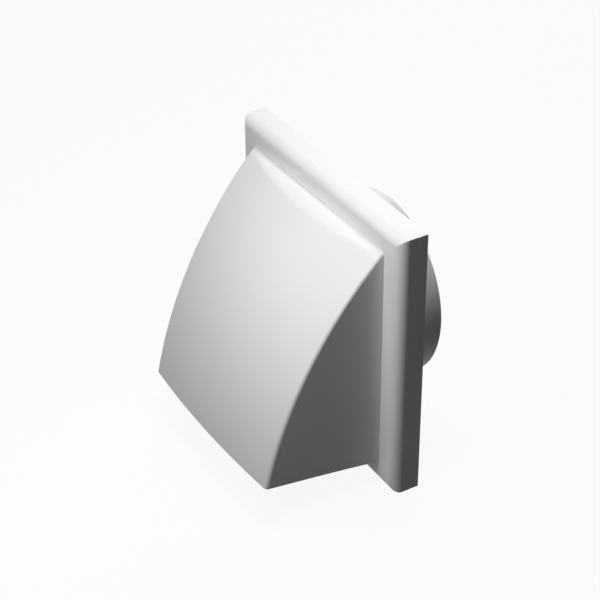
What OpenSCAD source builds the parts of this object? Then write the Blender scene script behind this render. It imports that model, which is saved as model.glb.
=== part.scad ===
// Hooded wall vent with a round duct spigot behind it and a gravity flap inside.
// Origin: centre of the wall face of the base plate, on the axis of the spigot.
// +X runs right, +Y into the wall along the spigot, +Z up. The hood hangs over -Y.

/* [Flange] */
// Width and height of the square flange
flange_w = 187; // [180:1:230]
// Depth of the flange, from the wall to its front face
flange_d = 19; // [16:0.5:26]
// Radius of the flange's front edge
flange_r = 6.5; // [3.5:0.5:9]
// Wall of the flange's rim and of its front face
flange_wall = 2.5; // [2:0.5:3.5]
// Border of the front face, from the hood to the rim
border = 16.8; // [14:0.1:20]

/* [Hood] */
// Depth of the hood at its mouth, in front of the flange
hood_d = 80.5; // [70:0.5:110]
// Wall of the hood
hood_wall = 2.5; // [1.5:0.5:3.5]
// Depth of the flat ledge along the top of the hood, at its ends
ledge_d = 2; // [1:0.5:6]
// How far the mouth rises from the flange to its front edge
mouth_rise = 8; // [0:1:20]
// How far each side closes in over the hood's depth
draft = 3.7; // [0:0.1:8]
// Height of the arc that the side profile follows, over its chord
profile_bulge = 11.6; // [4:0.1:18]
// Height of the front's bow at the ledge
bow_top = 9.8; // [2:0.1:12]
// Height of the front's bow at the mouth
bow_mouth = 3.5; // [1:0.1:10]
// Rounding of the hood's outer edges
edge_r = 1.3; // [0.6:0.1:1.6]
// Rounding of the hood's inner corners
inner_r = 0.4; // [0.2:0.1:1]

/* [Base plate] */
// Play between the flange's rim and what fits inside it
rim_gap = 0.3; // [0.2:0.1:1]
// Thickness of the plate
plate_t = 3; // [2:0.5:4]
// Radius of the plate's corners
plate_r = 5; // [2:1:10]

/* [Spigot] */
// Bore of the duct that the spigot slides into
duct_bore = 125; // [100:1:126]
// Play between spigot and duct, on the radius
duct_gap = 0.5; // [0.2:0.1:1.5]
// Wall of the spigot
spigot_wall = 2.2; // [1.5:0.1:3]
// Length of the spigot behind the wall face
spigot_l = 36; // [25:1:60]
// Lead-in chamfer at the spigot's end
lead_in = 1; // [0.5:0.1:1.2]

/* [Wall screws] */
// Distance between screw holes, across and up
screw_pitch = 152; // [146:1:156]
// Radius of the screw holes
screw_hole_r = 2.3; // [1.6:0.1:3]
// Radius of the screw bosses
boss_r = 6; // [5:0.5:8]
// Height of the screw bosses over the plate
boss_h = 3; // [2.5:0.5:6]
// Depth of the countersinks
sink_d = 2.2; // [1.5:0.1:2.4]

/* [Snap hooks] */
// Distance between the two hooks of a side
hook_pitch = 100; // [80:1:120]
// Width of a hook
hook_w = 14; // [8:1:20]
// Thickness of a hook's arm
hook_t = 1.8; // [1.2:0.2:2.4]
// How far a hook's nose stands out, and the ridge that it catches
hook_bite = 1.2; // [0.8:0.1:1.5]
// Length of a hook's nose along its arm
nose_l = 3.5; // [3:0.1:4]
// Play between nose and ridge
snap_gap = 0.3; // [0.2:0.1:0.4]
// Depth of the ridges in the rim
ridge_d = 2.5; // [1.5:0.1:3]

/* [Flap] */
// Width of the seat ring around the duct opening
seat_w = 5; // [4:0.5:6]
// Height of the seat ring over the plate
seat_h = 6; // [5.5:0.5:7]
// Thickness of the soft ring on the seat
seal_t = 1.5; // [1:0.1:2.5]
// How far the soft ring stays inside the edges of its seat
seal_inset = 0.5; // [0.3:0.1:1]
// Gap between the closed flap and the soft ring
flap_gap = 0.3; // [0.2:0.1:0.6]
// Thickness of the flap
flap_t = 1.6; // [1.2:0.1:2.4]
// Width of the bead around the flap
bead_w = 2; // [1.5:0.1:4]
// Height of the bead over the flap
bead_h = 1.2; // [0.6:0.1:1.6]

/* [Hinge] */
// Radius of the hinge pin
pin_r = 1.25; // [1:0.05:1.5]
// Play of the pin in the flap's knuckles
pin_play = 0.1; // [0.05:0.01:0.1]
// Play of the pin in the ears
ear_play = 0.02; // [0.01:0.01:0.05]
// Wall of the knuckles around the pin
knuckle_wall = 1.65; // [1.4:0.05:1.7]
// Length of a knuckle
knuckle_l = 12; // [8:1:16]
// Distance between the centres of the knuckles
knuckle_pitch = 52; // [40:1:60]
// Thickness of an ear
ear_t = 4; // [3:0.5:5]
// Wall of an ear around the pin
ear_wall = 2.1; // [1.8:0.1:2.4]
// Play between a knuckle and its ear
side_play = 0.6; // [0.4:0.1:1]
// How far the pin stands out of an ear
pin_over = 1; // [0.5:0.5:2]

/* [Hidden] */
$fn = 96;

// Overlap that joins two shapes of one moulding
join = 0.5;
// How far a cut runs past the face that it opens, and a countersink past its boss
past = 1;
skim = 0.01;
// Least radius of the flange's inner edge
least_r = 0.5;
// Pieces of a rounded edge, of the bowed front and of the side profile
edge_steps = 3;
bow_steps = 12;
profile_steps = 14;

// Hood: its edges in front of the flange
hood_half = flange_w / 2 - border;
hood_z = hood_half;
front_y = -flange_d;
mouth_z = -hood_z + mouth_rise;
profile_a = [front_y - ledge_d, hood_z];
profile_b = [front_y - hood_d, mouth_z];
chord = profile_b - profile_a;
chord_l = norm(chord);
arc_r = (chord_l * chord_l / 4 + profile_bulge * profile_bulge) / (2 * profile_bulge);
arc_c = (profile_a + profile_b) / 2
    + (arc_r - profile_bulge) / chord_l * [-chord.y, chord.x];

// Flange's inside, base plate, spigot and seat
inner_half = flange_w / 2 - flange_wall;
flange_inner_r = max(flange_r - flange_wall, least_r);
plate_half = inner_half - rim_gap;
spigot_r = duct_bore / 2 - duct_gap;
bore_r = spigot_r - spigot_wall;
seat_r = bore_r + seat_w;
seat_y = -plate_t - seat_h;
seal_y = seat_y - seal_t;

// Hooks and ridges: the nose starts in front of the ridge
ridge_y = -plate_t - ridge_d;
nose_y = ridge_y - snap_gap;
hook_face = inner_half - hook_bite - snap_gap;

// Flap and hinge: the pin's axis lies behind the flap, so its weight closes it
flap_y = seal_y - flap_gap;
flap_r = seat_r - flap_gap;
knuckle_r = pin_r + pin_play + knuckle_wall;
hinge_y = flap_y + pin_r;
hinge_z = seat_r + knuckle_r + flap_gap;
ear_x = (knuckle_pitch + knuckle_l) / 2 + side_play;
ear_r = pin_r + ear_play + ear_wall;
pin_l = 2 * (ear_x + ear_t + pin_over);
arm_z = sqrt(flap_r * flap_r - ear_x * ear_x) - bead_w;

// A turn that lays a shape drawn in x and z, and extruded up, along the Y axis
module along_y(y0, y1) {
    translate([0, y1, 0]) rotate([90, 0, 0]) linear_extrude(y1 - y0) children();
}

// A turn that lays a shape drawn in y and z along the X axis, centred
module along_x(length) {
    rotate([90, 0, 90]) linear_extrude(length, center = true) children();
}

// A section from y = 0 to -depth, with its two front corners rounded
module rounded_section(half, depth, r) {
    translate([-half, r - depth]) square([2 * half, depth - r]);
    translate([r - half, -depth]) square([2 * (half - r), r]);
    for (side = [-1, 1]) translate([side * (half - r), r - depth]) circle(r);
}

// A square block whose front edges are rounded and meet in mitres
module rounded_block(half, depth, r) {
    intersection() {
        linear_extrude(2 * half, center = true) rounded_section(half, depth, r);
        rotate([0, 90, 0]) linear_extrude(2 * half, center = true) rounded_section(half, depth, r);
    }
}

// Y of the hood's front at height z, at its ends, with the wall taken off
function profile_y(z, wall) =
    arc_c.x - sqrt((arc_r - wall) * (arc_r - wall) - (z - arc_c.y) * (z - arc_c.y));

// Height of the front's bow at height z
function bow_at(z) = bow_top + (bow_mouth - bow_top) * (hood_z - z) / (hood_z - mouth_z);

// Half the hood's width at y
function half_at(y, wall) = hood_half - wall - draft * max(0, front_y - y) / hood_d;

// Points of an arc of radius r that rounds the corner b between a and c
function round_corner(a, b, c, r) =
    let (
        u = (a - b) / norm(a - b),
        v = (c - b) / norm(c - b),
        half_turn = acos(u * v) / 2,
        centre = b + r / sin(half_turn) * (u + v) / norm(u + v),
        from = b + r / tan(half_turn) * u - centre,
        to = b + r / tan(half_turn) * v - centre,
        start = atan2(from.y, from.x),
        turn = atan2(from.x * to.y - from.y * to.x, from * to)
    )
    [for (i = [0:edge_steps])
        let (angle = start + turn * i / edge_steps) centre + r * [cos(angle), sin(angle)]];

// One level of the hood in plan: side, corner, bowed front, corner, side
function hood_level(z, wall, inset, back_y, r) =
    let (
        end_y = min(profile_y(z, wall) + inset, back_y - 2 * edge_r),
        half = half_at(end_y, wall) - inset,
        root = half_at(back_y, wall) - inset,
        front = [for (i = [0:bow_steps])
            let (t = 1 - 2 * i / bow_steps) [half * t, end_y - bow_at(z) * (1 - t * t)]],
        corner = round_corner([root, back_y], front[0], front[1], r),
        right = concat([[root, back_y]], corner),
        left = [for (i = [len(right) - 1:-1:0]) [-right[i].x, right[i].y]],
        middle = [for (i = [1:bow_steps - 1]) front[i]]
    )
    concat(right, middle, left);

// A closed solid through level outlines, each a list of [x, y], at the heights zs
module loft(levels, zs) {
    n = len(levels[0]);
    m = len(levels);
    points = [for (k = [0:m - 1]) for (p = levels[k]) [p.x, p.y, zs[k]]];
    sides = [for (k = [0:m - 2]) for (i = [0:n - 1])
        let (j = (i + 1) % n) each [
            [k * n + i, k * n + j, (k + 1) * n + i],
            [k * n + j, (k + 1) * n + j, (k + 1) * n + i]]];
    low = [[for (i = [n - 1:-1:0]) i]];
    top = [[for (i = [0:n - 1]) (m - 1) * n + i]];
    polyhedron(points, concat(sides, low, top), convexity = 4);
}

// Heights of the levels, evenly spaced in angle along the side profile
function heights(z0, z1) =
    let (a0 = asin((z0 - arc_c.y) / arc_r), a1 = asin((z1 - arc_c.y) / arc_r))
    [for (k = [0:profile_steps]) arc_c.y + arc_r * sin(a0 + (a1 - a0) * k / profile_steps)];

// The hood's outside, closed below at the foot of its root
module hood_outside() {
    straight = heights(-hood_z, hood_z - edge_r);
    rounding = [for (k = [1:edge_steps]) 90 * k / edge_steps];
    zs = concat(straight, [for (a = rounding) hood_z - edge_r + edge_r * sin(a)]);
    insets = concat([for (z = straight) 0], [for (a = rounding) edge_r * (1 - cos(a))]);
    loft([for (k = [0:len(zs) - 1]) hood_level(zs[k], 0, insets[k], front_y + join, edge_r)], zs);
}

// The hood's inside, which also opens the flange's front face
module hood_inside() {
    zs = heights(-hood_z - past, hood_z - hood_wall);
    loft([for (z = zs) hood_level(z, hood_wall, 0, front_y + flange_wall + past, inner_r)], zs);
}

// What is cut away below the rising mouth
module below_mouth() {
    slope = mouth_rise / hood_d;
    reach = 2 * hood_d;
    along_x(3 * hood_half) polygon([
        [front_y, -hood_z], [front_y - reach, -hood_z + slope * reach],
        [front_y - reach, -2 * hood_z], [front_y, -2 * hood_z]]);
}

// A ridge inside the rim for one snap hook, with a lead-in slope on its wall side
module ridge() {
    translate([0, 0, -hook_w / 2]) linear_extrude(hook_w) polygon([
        [inner_half + join, -plate_t - ridge_d], [inner_half - hook_bite, -plate_t - ridge_d],
        [inner_half - hook_bite, -plate_t - ridge_d / 2], [inner_half, -plate_t],
        [inner_half + join, -plate_t]]);
}

module at_hooks() {
    for (side = [0, 1]) mirror([side, 0, 0])
        for (z = [-1, 1]) translate([0, 0, z * hook_pitch / 2]) children();
}

module cowl() {
    color("white") {
        difference() {
            union() {
                rounded_block(flange_w / 2, flange_d, flange_r);
                difference() {
                    hood_outside();
                    below_mouth();
                }
            }
            translate([0, past, 0])
                rounded_block(inner_half, flange_d - flange_wall + past, flange_inner_r);
            hood_inside();
        }
        at_hooks() ridge();
    }
}

// A flat plate with round corners, from the wall face forwards
module plate() {
    across = plate_half - plate_r;
    translate([-plate_half, -plate_t, -across]) cube([2 * plate_half, plate_t, 2 * across]);
    translate([-across, -plate_t, -plate_half]) cube([2 * across, plate_t, 2 * plate_half]);
    for (x = [-1, 1]) for (z = [-1, 1]) translate([x * across, 0, z * across])
        rotate([90, 0, 0]) cylinder(h = plate_t, r = plate_r);
}

module ring(r_in, r_out, y0, y1) {
    along_y(y0, y1) difference() {
        circle(r_out);
        circle(r_in);
    }
}

// The tube that goes into the duct, with a chamfered end
module spigot() {
    rotate([-90, 0, 0]) rotate_extrude() polygon([
        [bore_r, -plate_t], [spigot_r, -plate_t], [spigot_r, spigot_l - lead_in],
        [spigot_r - lead_in, spigot_l], [bore_r, spigot_l]]);
}

// A hook arm that stands on the plate, with a nose that snaps in front of the ridge
module hook() {
    top_y = nose_y - nose_l;
    translate([0, 0, -hook_w / 2]) linear_extrude(hook_w) polygon([
        [hook_face - hook_t, -plate_t + join], [hook_face, -plate_t + join],
        [hook_face, nose_y], [hook_face + hook_bite, nose_y],
        [hook_face + hook_bite, nose_y - nose_l / 4], [hook_face, top_y],
        [hook_face - hook_t, top_y]]);
}

module at_screws() {
    for (x = [-1, 1]) for (z = [-1, 1])
        translate([x * screw_pitch / 2, 0, z * screw_pitch / 2]) rotate([90, 0, 0]) children();
}

// An ear that holds one end of the hinge pin
module ear() {
    foot_z = seat_r - seat_w / 2;
    translate([ear_x, 0, 0]) rotate([90, 0, 90]) linear_extrude(ear_t) {
        translate([hinge_y, foot_z]) square([-plate_t + join - hinge_y, hinge_z + ear_r - foot_z]);
        translate([hinge_y - ear_r, hinge_z - ear_r]) square([ear_r, ear_r]);
        translate([hinge_y, hinge_z]) circle(ear_r);
    }
}

module base_plate() {
    color("whitesmoke") difference() {
        union() {
            plate();
            ring(bore_r, seat_r, seat_y, -plate_t + join);
            spigot();
            at_hooks() hook();
            at_screws() cylinder(h = plate_t + boss_h, r = boss_r);
            for (side = [0, 1]) mirror([side, 0, 0]) ear();
        }
        rotate([90, 0, 0]) cylinder(h = 2 * (plate_t + seat_h), r = bore_r, center = true);
        at_screws() {
            translate([0, 0, -past]) cylinder(h = plate_t + boss_h + 2 * past, r = screw_hole_r);
            translate([0, 0, plate_t + boss_h - sink_d])
                cylinder(h = sink_d + skim, r1 = screw_hole_r, r2 = screw_hole_r + sink_d + skim);
        }
        translate([0, hinge_y, hinge_z]) rotate([0, 90, 0])
            cylinder(h = 2 * (ear_x + ear_t + past), r = pin_r + ear_play, center = true);
    }
}

module flap_seal() {
    color("dimgray") ring(bore_r + seal_inset, seat_r - seal_inset, seal_y, seat_y);
}

module hinge_pin() {
    color("silver") translate([0, hinge_y, hinge_z]) rotate([0, 90, 0])
        cylinder(h = pin_l, r = pin_r, center = true);
}

// A knuckle of the flap, with the arm that joins it to the disc
module knuckle() {
    translate([(knuckle_pitch - knuckle_l) / 2, 0, 0]) rotate([90, 0, 90]) linear_extrude(knuckle_l) {
        translate([hinge_y, hinge_z]) circle(knuckle_r);
        translate([flap_y - flap_t, arm_z]) square([flap_t, hinge_z - arm_z]);
    }
}

module flap() {
    color("white") difference() {
        union() {
            ring(0, flap_r, flap_y - flap_t, flap_y);
            ring(flap_r - bead_w, flap_r, flap_y - flap_t - bead_h, flap_y - flap_t + join);
            for (side = [0, 1]) mirror([side, 0, 0]) knuckle();
        }
        translate([0, hinge_y, hinge_z]) rotate([0, 90, 0])
            cylinder(h = knuckle_pitch + 2 * knuckle_l, r = pin_r + pin_play, center = true);
    }
}

cowl();
base_plate();
flap_seal();
hinge_pin();
flap();
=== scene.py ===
# %% [markdown]
# A hooded outlet vent in white plastic: a cowl, a base plate with a round duct spigot, and
# inside the hood a gravity flap on a steel pin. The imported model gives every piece's place, so
# this lesson starts from it and only adds the finish: smoother shells, small edge radii,
# materials, light and the camera.

# %% Load the frame
import math

import bmesh
import bpy
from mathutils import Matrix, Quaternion, Vector


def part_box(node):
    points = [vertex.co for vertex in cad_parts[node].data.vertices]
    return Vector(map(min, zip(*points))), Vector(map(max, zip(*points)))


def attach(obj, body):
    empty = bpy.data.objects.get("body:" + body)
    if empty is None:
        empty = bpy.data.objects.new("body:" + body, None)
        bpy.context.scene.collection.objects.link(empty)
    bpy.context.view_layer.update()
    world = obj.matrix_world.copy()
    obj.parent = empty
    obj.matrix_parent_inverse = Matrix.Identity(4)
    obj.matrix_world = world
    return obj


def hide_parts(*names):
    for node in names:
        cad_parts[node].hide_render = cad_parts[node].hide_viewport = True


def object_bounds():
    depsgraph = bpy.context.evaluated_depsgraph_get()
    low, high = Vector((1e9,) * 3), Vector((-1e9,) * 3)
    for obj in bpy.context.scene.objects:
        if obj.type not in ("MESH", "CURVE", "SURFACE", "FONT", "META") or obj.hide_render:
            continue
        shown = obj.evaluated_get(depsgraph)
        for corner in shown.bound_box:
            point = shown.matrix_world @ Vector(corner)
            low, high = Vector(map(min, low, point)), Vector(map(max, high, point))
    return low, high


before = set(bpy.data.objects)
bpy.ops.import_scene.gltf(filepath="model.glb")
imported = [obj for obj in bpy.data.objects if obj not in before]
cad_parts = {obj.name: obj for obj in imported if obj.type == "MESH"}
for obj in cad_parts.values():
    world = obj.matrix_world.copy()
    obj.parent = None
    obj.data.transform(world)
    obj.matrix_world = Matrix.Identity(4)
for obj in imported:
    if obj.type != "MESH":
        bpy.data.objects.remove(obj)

cad_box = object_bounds()
mm = 0.001
print("nodes:", sorted(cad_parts))

# %% [markdown]
# The camera stands to the right of the vent, in front of it and above it, and looks down on the
# hood. Its place is given as a product photographer would say it: the point it aims at on the
# vent's middle plane, how far it is turned and raised, and how far away it stands. The lamps are
# placed in the same way later on.

# %% Camera
def way_out(turn_deg, raise_deg):
    """The way out from the vent, turned to the right of its front and raised."""
    turn, rise = math.radians(turn_deg), math.radians(raise_deg)
    return Vector((math.sin(turn) * math.cos(rise), -math.cos(turn) * math.cos(rise),
                   math.sin(rise)))


aim = Vector((0, -30.86, 5.98)) * mm
back = way_out(59.314, 33.483)
distance = 1082.2 * mm
tilt = math.radians(-0.361)
camera = bpy.data.objects.new("camera", bpy.data.cameras.new("camera"))
camera.data.lens = 102.25
camera.data.sensor_width = 36
camera.data.clip_start = 0.05
camera.location = aim + distance * back
level = back.to_track_quat("Z", "Y")
camera.rotation_euler = (level @ Quaternion((0, 0, 1), tilt)).to_euler()
bpy.context.scene.collection.objects.link(camera)
bpy.context.scene.camera = camera
bpy.context.scene.view_settings.view_transform = "Standard"
print("camera at", [round(c, 3) for c in camera.location])

# %% [markdown]
# Every material here is a small tree of nodes. One helper adds a node, sets it up and links its
# inputs, and another turns a colour written as sRGB hex into the linear values that Blender
# mixes with.

# %% Node helper
def linear(hex_colour):
    """The linear RGBA of an sRGB hex colour."""
    channels = [int(hex_colour[i:i + 2], 16) / 255 for i in (1, 3, 5)]
    return [c / 12.92 if c <= 0.04045 else ((c + 0.055) / 1.055) ** 2.4 for c in channels] + [1]


def add(tree, kind, settings=None, **inputs):
    """Adds a node. An input is a value, or an output socket to link."""
    node = tree.nodes.new(kind)
    for name, value in (settings or {}).items():
        setattr(node, name, value)
    for name, value in inputs.items():
        key = int(name[1:]) if name[1:].isdigit() else name.replace("_", " ")
        if isinstance(value, bpy.types.NodeSocket):
            tree.links.new(value, node.inputs[key])
        else:
            node.inputs[key].default_value = value
    return node


def new_material(name):
    """A material with an empty tree, and that tree."""
    material = bpy.data.materials.new(name)
    material.use_nodes = True
    material.node_tree.nodes.clear()
    return material, material.node_tree


# %% [markdown]
# The studio is a white sweep under soft lamps. The floor and the world look white to the camera
# and in reflections, through Light Path, but they throw little light back on the vent, so its
# shaded side keeps its depth. The floor still takes the vent's shadow, because part of what the
# camera sees there is an ordinary matt surface.

# %% World and floor
def seen_directly(tree):
    """1 for camera, glossy and transmission rays, 0 for the rays that carry light."""
    path = add(tree, "ShaderNodeLightPath")
    either = add(tree, "ShaderNodeMath", {"operation": "MAXIMUM"},
                 _0=path.outputs["Is Camera Ray"], _1=path.outputs["Is Glossy Ray"])
    return add(tree, "ShaderNodeMath", {"operation": "MAXIMUM"},
               _0=either.outputs[0], _1=path.outputs["Is Transmission Ray"]).outputs[0]


ambient = 0.01
world = bpy.data.worlds.new("white_studio")
world.use_nodes = True
tree = world.node_tree
tree.nodes.clear()
dim = add(tree, "ShaderNodeBackground", Color=linear("#FFFFFF"), Strength=ambient)
white = add(tree, "ShaderNodeBackground", Color=linear("#FFFFFF"), Strength=1)
mixed = add(tree, "ShaderNodeMixShader", _0=seen_directly(tree),
            _1=dim.outputs[0], _2=white.outputs[0])
add(tree, "ShaderNodeOutputWorld", Surface=mixed.outputs[0])
bpy.context.scene.world = world

floor_material, tree = new_material("white_paper_sweep")
paper = add(tree, "ShaderNodeBsdfDiffuse", Color=linear("#F4F4F4"))
glow = add(tree, "ShaderNodeEmission", Color=linear("#FFFFFF"), Strength=1)
glow_share = 0.92
seen = add(tree, "ShaderNodeMixShader", _0=glow_share, _1=paper.outputs[0], _2=glow.outputs[0])
card = add(tree, "ShaderNodeBsdfDiffuse", Color=linear("#2C2C2C"))
surface = add(tree, "ShaderNodeMixShader", _0=seen_directly(tree),
              _1=card.outputs[0], _2=seen.outputs[0])
add(tree, "ShaderNodeOutputMaterial", Surface=surface.outputs[0])

floor_half = 6
floor_z = cad_box[0][2] - 0.2 * mm
floor_mesh = bpy.data.meshes.new("floor")
bm = bmesh.new()
bmesh.ops.create_grid(bm, x_segments=2, y_segments=2, size=floor_half)
bmesh.ops.translate(bm, verts=bm.verts, vec=(0, 0, floor_z))
bm.to_mesh(floor_mesh)
bm.free()
floor_mesh.materials.append(floor_material)
floor = bpy.data.objects.new("floor", floor_mesh)
bpy.context.scene.collection.objects.link(floor)
print("floor at z", round(floor_z, 4))

# %% [markdown]
# Soft boxes are area lamps: the larger the lamp looks from the vent, the softer its shadow. Each
# one is given by the way it stands from the vent, turned and raised as the camera is, and it
# faces the vent. The one above and a little behind lights the ledge and the rim's top. The key
# stands close by on the right, so its light fades over the hood's front from the top right to the
# bottom left. A weak one in front lifts what faces forwards, and one behind lights the back.

# %% Lamps
def soft_box(name, turn_deg, raise_deg, away, size, watts):
    """A square area lamp, turned and raised about the vent, that faces it."""
    lamp = bpy.data.lights.new(name, "AREA")
    lamp.size = size
    lamp.energy = watts
    lamp_object = bpy.data.objects.new(name, lamp)
    way = way_out(turn_deg, raise_deg)
    lamp_object.location = aim + away * way
    lamp_object.rotation_euler = way.to_track_quat("Z", "Y").to_euler()
    lamp_object.visible_camera = False
    bpy.context.scene.collection.objects.link(lamp_object)


soft_box("top_box", -151.2, 83, 0.85, 0.3, 4.0)
soft_box("key_box", 22.1, 43.5, 0.311, 0.1, 0.37)
soft_box("front_box", 7.7, 4.6, 0.677, 0.2, 0.6)
soft_box("back_box", -135, 20, 1.8, 0.8, 10)

# %% [markdown]
# The shells are injection-moulded ABS, coloured white through and through. The mould's fine
# spark texture gives the outside a satin look: a soft, wide highlight and no mirror image. The
# texture's grains are about 0.15 mm across, which no pixel shows, so the bump is drawn at 0.6 mm
# and kept faint. Flow in the mould leaves the gloss a little uneven over a few centimetres. Clear
# ABS has an index of refraction of 1.54. The value here is a little lower, because the fine
# texture scatters part of the mirror-like sheen.

# %% Moulded ABS
grain_mm, grain_depth_mm = 0.6, 0.01
flow_mm, flow_shade = 45, 0.965
flow_smoother, flow_rougher = 0.03, 0.04


def moulded_abs(name, colour, roughness):
    """ABS in a colour, with the roughness that the mould's texture gives it."""
    material, tree = new_material(name)
    place = add(tree, "ShaderNodeTexCoord").outputs["Object"]
    flow = add(tree, "ShaderNodeTexNoise", Vector=place, Scale=1 / (flow_mm * mm),
               Detail=3, Roughness=0.5)
    light = linear(colour)
    deep = [c * flow_shade for c in light[:3]] + [1]
    tint = add(tree, "ShaderNodeMix", {"data_type": "RGBA"}, Factor=flow.outputs["Fac"],
               _6=deep, _7=light)
    sheen = add(tree, "ShaderNodeMapRange", Value=flow.outputs["Fac"], From_Min=0.3, From_Max=0.7,
                To_Min=roughness - flow_smoother, To_Max=roughness + flow_rougher)
    grain = add(tree, "ShaderNodeTexNoise", Vector=place, Scale=1 / (grain_mm * mm),
                Detail=2, Roughness=0.6)
    bump = add(tree, "ShaderNodeBump", Height=grain.outputs["Fac"],
               Distance=grain_depth_mm * mm, Strength=0.35)
    shader = add(tree, "ShaderNodeBsdfPrincipled", Base_Color=tint.outputs[2],
                 Roughness=sheen.outputs[0], IOR=1.47, Normal=bump.outputs[0])
    add(tree, "ShaderNodeOutputMaterial", Surface=shader.outputs[0])
    return material


cowl_finish = moulded_abs("moulded_white_abs_satin", "#F2F0F0", roughness=0.44)
base_finish = moulded_abs("moulded_white_abs_plain", "#EEECEC", roughness=0.48)
flap_finish = moulded_abs("moulded_white_abs_thin", "#F0EEEE", roughness=0.46)
print("plastics:", cowl_finish.name, base_finish.name, flap_finish.name)

# %% [markdown]
# The flap's seal is closed-cell foam, cut from a sheet: dull, dark grey, with cells of about
# 0.4 mm that show as small pits where the knife went through them. A Voronoi pattern has cells of
# the same kind, so it gives the pits their depth. It also paints shade into them: the colour is
# darker towards each pit's middle.

# %% Closed-cell foam
foam, tree = new_material("closed_cell_foam")
place = add(tree, "ShaderNodeTexCoord").outputs["Object"]
cell_mm = 0.4
cells = add(tree, "ShaderNodeTexVoronoi", Vector=place, Scale=1 / (cell_mm * mm))
pits = add(tree, "ShaderNodeBump", Height=cells.outputs["Distance"],
           Distance=0.15 * mm, Strength=0.6)
# Painted shade: the colour darkens towards the middle of each pit.
painted_pit_shade = add(tree, "ShaderNodeMapRange", Value=cells.outputs["Distance"],
            From_Min=0, From_Max=0.7, To_Min=0, To_Max=1)
foam_tone_with_painted_shade = add(tree, "ShaderNodeMix", {"data_type": "RGBA"}, Factor=painted_pit_shade.outputs[0],
           _6=linear("#3A3A3D"), _7=linear("#505054"))
shader = add(tree, "ShaderNodeBsdfPrincipled", Base_Color=foam_tone_with_painted_shade.outputs[2],
             Roughness=0.9, Normal=pits.outputs[0])
add(tree, "ShaderNodeOutputMaterial", Surface=shader.outputs[0])
print("foam:", foam.name)

# %% [markdown]
# The hinge pin is drawn stainless steel rod. Drawing leaves hair lines along the rod, so its
# gloss is streaked lengthways, along X. Real lines are finer than the 0.12 mm here, but they
# would not show at all.

# %% Drawn steel
steel, tree = new_material("drawn_stainless_steel")
place = add(tree, "ShaderNodeTexCoord").outputs["Object"]
streak_mm = 0.12
along = add(tree, "ShaderNodeMapping", Vector=place, Scale=(0.02, 1, 1))
streaks = add(tree, "ShaderNodeTexNoise", Vector=along.outputs[0],
              Scale=1 / (streak_mm * mm), Detail=2)
sheen = add(tree, "ShaderNodeMapRange", Value=streaks.outputs["Fac"],
            From_Min=0.3, From_Max=0.7, To_Min=0.22, To_Max=0.42)
lines = add(tree, "ShaderNodeBump", Height=streaks.outputs["Fac"],
            Distance=0.01 * mm, Strength=0.4)
shader = add(tree, "ShaderNodeBsdfPrincipled", Base_Color=linear("#C8C6C2"), Metallic=1,
             Roughness=sheen.outputs[0], Normal=lines.outputs[0])
add(tree, "ShaderNodeOutputMaterial", Surface=shader.outputs[0])
print("steel:", steel.name)

# %% [markdown]
# The cowl is one moulding of even wall thickness, so it can be made as a moulder thinks of it:
# first the outer skin alone, then the wall. The skin starts from a flat grid that is bent to the
# hood's front. Its side profile is an arc of a circle, its plan is bowed, and each side closes in
# a little towards the front, so that the moulding leaves its tool. Above the arc a narrow ledge
# runs back to the flange and rises to it by 1.5 mm, so that rain runs off to the front.

# %% Hood sizes
flange_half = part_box("cowl")[1].x
flange_d = 19 * mm
flange_r = 6.5 * mm
wall = 2.5 * mm
border = 16.8 * mm
hood_half = flange_half - border
hood_d = 80.5 * mm
ledge_d = 2 * mm
ledge_rise = 1.5 * mm
mouth_rise = 8 * mm
draft = 3.7 * mm
bulge = 11.6 * mm
bow_top, bow_mouth = 9.8 * mm, 3.44 * mm
face_y = -flange_d
mouth_z = mouth_rise - hood_half

arc_top = Vector((face_y - ledge_d, hood_half))
arc_bottom = Vector((face_y - hood_d, mouth_z))
chord = arc_bottom - arc_top
arc_r = (chord.length ** 2 / 4 + bulge ** 2) / (2 * bulge)
inwards = Vector((-chord.y, chord.x))
arc_centre = (arc_top + arc_bottom) / 2 + (arc_r - bulge) / chord.length * inwards
print("hood's profile radius", round(arc_r / mm, 1), "mm")


def side_x(y):
    """Half the hood's width at y."""
    return hood_half - draft * (face_y - y) / hood_d


# %% [markdown]
# The grid reaches a little below the mouth, because the mouth is cut out of it afterwards. Its
# sides are then drawn straight back to the flange, and its top edge is drawn back as the ledge.
# Two lengths are used from here on: points nearer than a hair are one point, and a point that is
# near a plane counts as lying on it.

# %% Hood skin
columns, rows = 28, 34
spare = 0.5 * mm
near, hair = 0.05 * mm, 0.001 * mm
skin = bmesh.new()
bmesh.ops.create_grid(skin, x_segments=columns, y_segments=rows, size=1)
grid_end = 0.999
side_edges = [e for e in skin.edges if all(abs(v.co.x) > grid_end for v in e.verts)]
top_edges = [e for e in skin.edges if all(v.co.y > grid_end for v in e.verts)]
low_turn = math.asin((-hood_half - spare - arc_centre.y) / arc_r)
high_turn = math.asin((hood_half - arc_centre.y) / arc_r)
for v in skin.verts:
    across, turn = v.co.x, low_turn + (high_turn - low_turn) * (v.co.y + 1) / 2
    z = arc_centre.y + arc_r * math.sin(turn)
    end_y = arc_centre.x - arc_r * math.cos(turn)
    bow = bow_top + (bow_mouth - bow_top) * (hood_half - z) / (hood_half - mouth_z)
    v.co = (side_x(end_y) * across, end_y - bow * (1 - across * across), z)


def new_verts(result):
    return [g for g in result["geom"] if isinstance(g, bmesh.types.BMVert)]


for v in new_verts(bmesh.ops.extrude_edge_only(skin, edges=side_edges)):
    rise = ledge_rise if v.co.z > hood_half - near else 0
    v.co = (math.copysign(hood_half, v.co.x), face_y, v.co.z + rise)
for v in new_verts(bmesh.ops.extrude_edge_only(skin, edges=top_edges)):
    v.co = (v.co.x * hood_half / side_x(arc_top.x), face_y, hood_half + ledge_rise)
bmesh.ops.remove_doubles(skin, verts=skin.verts, dist=hair)
print("hood skin:", len(skin.faces), "faces")

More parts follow.
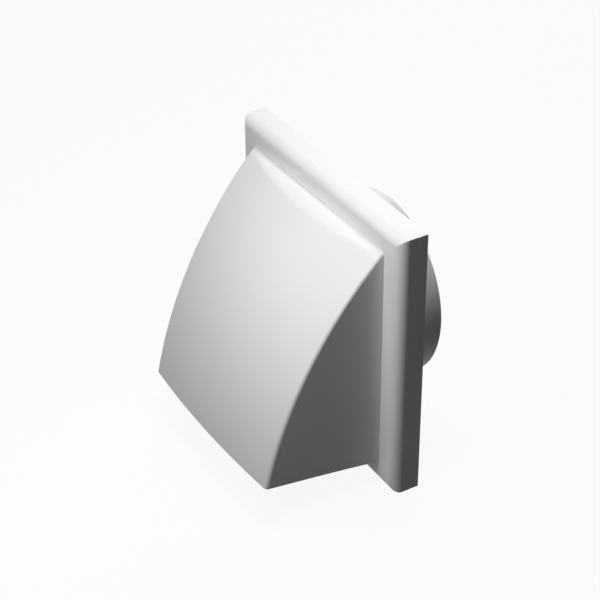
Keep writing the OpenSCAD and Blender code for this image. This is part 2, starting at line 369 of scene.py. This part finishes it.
# %% [markdown]
# The mouth is a straight sloping cut across the bottom of the hood. It leaves the hood's root
# open at the bottom, so an edge is drawn there, and the root is a closed loop.

# %% Mouth
mouth_foot = Vector((0, face_y, -hood_half))
mouth_normal = Vector((0, -mouth_rise, -hood_d)).normalized()
bmesh.ops.bisect_plane(skin, geom=skin.verts[:] + skin.edges[:] + skin.faces[:], dist=hair,
                       plane_co=mouth_foot, plane_no=mouth_normal, clear_outer=True)
bmesh.ops.remove_doubles(skin, verts=skin.verts, dist=near)
root = [v for v in skin.verts if abs(v.co.y - face_y) < near]
foot = [v for v in root if abs(v.co.z + hood_half) < near]
sill = skin.edges.new(foot)
bmesh.ops.subdivide_edges(skin, edges=[sill], cuts=columns - 1)
loop = [e for e in skin.edges if (e.is_boundary or e.is_wire)
        and all(abs(v.co.y - face_y) < near for v in e.verts)]
print("the hood's root:", len(loop), "edges")

# %% [markdown]
# The flange grows from that loop in rings: outwards for its front face, then round the large
# radius of its front edge, then back to the wall for its rim. The first ring is made square
# again at the top, where the ledge had raised the root, and every further ring is the same
# square at another size, so the corners come out mitred.

# %% Flange
def next_ring(bm, loop, half, y):
    """Extrudes a square loop to another half width and another y, and returns the new loop."""
    grown = bmesh.ops.extrude_edge_only(bm, edges=loop)["geom"]
    verts = [g for g in grown if isinstance(g, bmesh.types.BMVert)]
    factor = half / max(v.co.x for v in verts)
    bmesh.ops.scale(bm, verts=verts, vec=(factor, 1, factor))
    bmesh.ops.translate(bm, verts=verts, vec=(0, y - verts[0].co.y, 0))
    fresh = set(verts)
    return [g for g in grown if isinstance(g, bmesh.types.BMEdge) and fresh.issuperset(g.verts)]


edge_steps = 8
front_half = flange_half - flange_r
loop = next_ring(skin, loop, front_half, face_y)
for v in {v for e in loop for v in e.verts}:
    v.co.z = min(v.co.z, front_half)
for step in range(1, edge_steps + 1):
    turn = math.pi / 2 * step / edge_steps
    loop = next_ring(skin, loop, flange_half - flange_r * (1 - math.sin(turn)),
                     face_y + flange_r * (1 - math.cos(turn)))
loop = next_ring(skin, loop, flange_half, 0)
bmesh.ops.recalc_face_normals(skin, faces=skin.faces)
print("with the flange:", len(skin.faces), "faces")

# %% [markdown]
# The wall is the skin thickened inwards by the same amount everywhere, which is what keeps a
# moulding from sinking or warping.

# %% Cowl wall
bmesh.ops.solidify(skin, geom=skin.faces[:], thickness=wall)
bmesh.ops.recalc_face_normals(skin, faces=skin.faces)
print("cowl wall:", len(skin.faces), "faces")

# %% [markdown]
# Inside the rim stand four low ridges, two a side, that the hooks of the base plate snap behind.
# Each one is drawn on the rim's inside with cuts and raised from it. Its wall side slopes, so
# that the hook slides over it when the cowl is pushed on.

# %% Snap ridges
def in_order(parts):
    """Each part once, in the order that they come in."""
    return list(dict.fromkeys(parts))


inner_half = flange_half - wall
ridge_bite = 1.2 * mm
ridge_front, ridge_crest, ridge_back = -5.5 * mm, -4.25 * mm, -3 * mm
ridge_low, ridge_high = 43 * mm, 57 * mm
rim = [f for f in skin.faces
       if all(abs(abs(v.co.x) - inner_half) < near for v in f.verts)]
cuts = [((0, 0, side * z), (0, 0, 1)) for side in (-1, 1) for z in (ridge_low, ridge_high)]
cuts += [((0, y, 0), (0, 1, 0)) for y in (ridge_front, ridge_crest, ridge_back)]
for place, normal in cuts:
    around = in_order(part for f in rim for part in (f, *f.edges, *f.verts))
    cut = bmesh.ops.bisect_plane(skin, geom=around, dist=hair,
                                 plane_co=place, plane_no=normal)
    rim = [part for part in cut["geom"] if isinstance(part, bmesh.types.BMFace)]
middles = {f: f.calc_center_median() for f in rim}
drawn = [f for f in rim if ridge_front < middles[f].y < ridge_back
         and ridge_low < abs(middles[f].z) < ridge_high]
for v in new_verts(bmesh.ops.extrude_face_region(skin, geom=drawn)):
    if v.co.y < ridge_back - near:
        v.co.x -= math.copysign(ridge_bite, v.co.x)
bmesh.ops.delete(skin, geom=drawn, context="FACES")
bmesh.ops.remove_doubles(skin, verts=skin.verts, dist=hair)
print("snap ridges drawn from", len(drawn), "faces")

# %% [markdown]
# The edges are rounded last. An edge counts as sharp by how far its two faces turn, and a place
# on the cowl, such as the mouth or the hood's root, is told by a test on the edge's ends. The
# bevel keeps to the shortest edge of all that it is given, so each place gets a pass of its own.

# %% Tests for edges
def sharp_edges(bm, least_turn, test=lambda co: True):
    """Edges whose faces turn by more than least_turn degrees and whose ends pass the test."""
    turn = math.radians(least_turn)
    return [e for e in bm.edges if e.is_manifold and e.calc_face_angle() > turn
            and all(test(v.co) for v in e.verts)]


def soften(bm, edges, offset, segments=2):
    """Rounds edges over a width of offset on either side."""
    bmesh.ops.bevel(bm, geom=edges, offset=offset, affect="EDGES", segments=segments,
                    profile=0.5, material=-1, clamp_overlap=True)


def on_root(co):
    return (abs(co.y - face_y) < near and abs(co.x) < hood_half + near
            and -hood_half - near < co.z < hood_half + ledge_rise + near)


def on_mouth(co):
    return abs(mouth_normal.dot(co - mouth_foot)) < near


def on_back(co):
    return abs(co.y) < near


def on_hood(co):
    on_side, on_top = abs(abs(co.x) - side_x(co.y)) < near, abs(co.z - hood_half) < near
    return co.y < face_y + near and (on_side or on_top)


def on_mitre(co):
    return abs(abs(co.x) - abs(co.z)) < near and abs(co.x) > flange_half - flange_r - near


sharp_turn = 30
print("the cowl's sharp edges:", len(sharp_edges(skin, sharp_turn)))

# %% [markdown]
# The hood's own edges have a visible radius. It is small at the ends of the ledge, where there
# is little room, and grows down the sides and along the ledge. A bevel has one width, so each
# rounded strip is then widened about the sharp edge that it came from.

# %% Hood's edges
hood_edges = [e for e in sharp_edges(skin, sharp_turn, on_hood)
              if not any(all(test(v.co) for v in e.verts) for test in (on_mouth, on_root))]
corners = [v.co.copy() for v in in_order(v for e in hood_edges for v in e.verts)]
least_width = 1.5 * mm
strip_reach = 1.1 * least_width
mouth_gain, ledge_gain = 0.5, 0.4
soften(skin, hood_edges, least_width, segments=5)
widened = 0
for v in skin.verts:
    corner = min(corners, key=lambda c: (c - v.co).length_squared)
    if (v.co - corner).length < strip_reach:
        down = (hood_half - corner.z) / (hood_half - mouth_z)
        along = 1 - (corner.x / side_x(corner.y)) ** 2
        v.co = corner + (1 + mouth_gain * down + ledge_gain * along) * (v.co - corner)
        widened += 1
print("edges:", len(hood_edges), "on the hood,", widened, "of their vertices widened")

# %% [markdown]
# Every other edge of the cowl is only broken, by half a millimetre or less, as a mould has no
# sharp ones. Edges that are rounded already turn by up to 45 degrees a step, so these passes look
# for sharper ones. The mitres in the flange's round front edge fade out towards its front face,
# so their pass takes small turns too.

# %% Cowl's other edges
for place, test, least_turn, width in (("mouth", on_mouth, 50, 0.4 * mm),
                                       ("root", on_root, 50, 0.2 * mm),
                                       ("mitres", on_mitre, 5, 0.5 * mm),
                                       ("back", on_back, 50, 0.25 * mm)):
    found = sharp_edges(skin, least_turn, test)
    soften(skin, found, width)
    print(len(found), "edges softened at the", place)
print("rounded cowl:", len(skin.faces), "faces")

# %% [markdown]
# A finished piece is shaded smooth, apart from edges that turn by more than 35 degrees. The
# weighted normals keep large flat faces flat next to their rounded edges. Then the piece is told
# which body it rides on and given its material slot, and the CAD node that it stands for is
# hidden.

# %% Cowl piece
crease_deg = 35


def piece_from(bm, name, material, body, replaced):
    """A finished piece: its mesh, material, body and slot, with the CAD node that it stands for
    hidden.
    """
    mesh = bpy.data.meshes.new(name)
    bm.to_mesh(mesh)
    bm.free()
    mesh.materials.append(material)
    mesh.shade_smooth()
    mesh.set_sharp_from_angle(angle=math.radians(crease_deg))
    piece = bpy.data.objects.new(name, mesh)
    bpy.context.scene.collection.objects.link(piece)
    even = piece.modifiers.new("even_shading", "WEIGHTED_NORMAL")
    even.keep_sharp = True
    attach(piece, body)
    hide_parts(replaced)
    print(name, len(mesh.polygons), "faces")


piece_from(skin, "cowl_shell", cowl_finish, "housing", "cowl")

# %% [markdown]
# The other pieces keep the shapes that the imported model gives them. Its surfaces are loose
# triangles, so a copy is merged, flat stretches are joined to whole faces, and each sharp edge
# gets the small radius that a mould or a knife leaves.

# %% Other pieces
flat_deg = 0.5


def refined(node, name, material, body, radius):
    """A piece with the shape of a CAD node, with its sharp edges rounded."""
    bm = bmesh.new()
    bm.from_mesh(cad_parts[node].data)
    bmesh.ops.remove_doubles(bm, verts=bm.verts, dist=2 * hair)
    bmesh.ops.dissolve_limit(bm, verts=bm.verts, edges=bm.edges,
                             angle_limit=math.radians(flat_deg))
    soften(bm, sharp_edges(bm, crease_deg), radius)
    piece_from(bm, name, material, body, node)


refined("base_plate", "base_plate_moulding", base_finish, "housing", 0.3 * mm)
refined("flap", "flap_moulding", flap_finish, "flap", 0.3 * mm)
refined("flap_seal", "seal_ring", foam, "housing", 0.15 * mm)
refined("hinge_pin", "pin_rod", steel, "housing", 0.2 * mm)
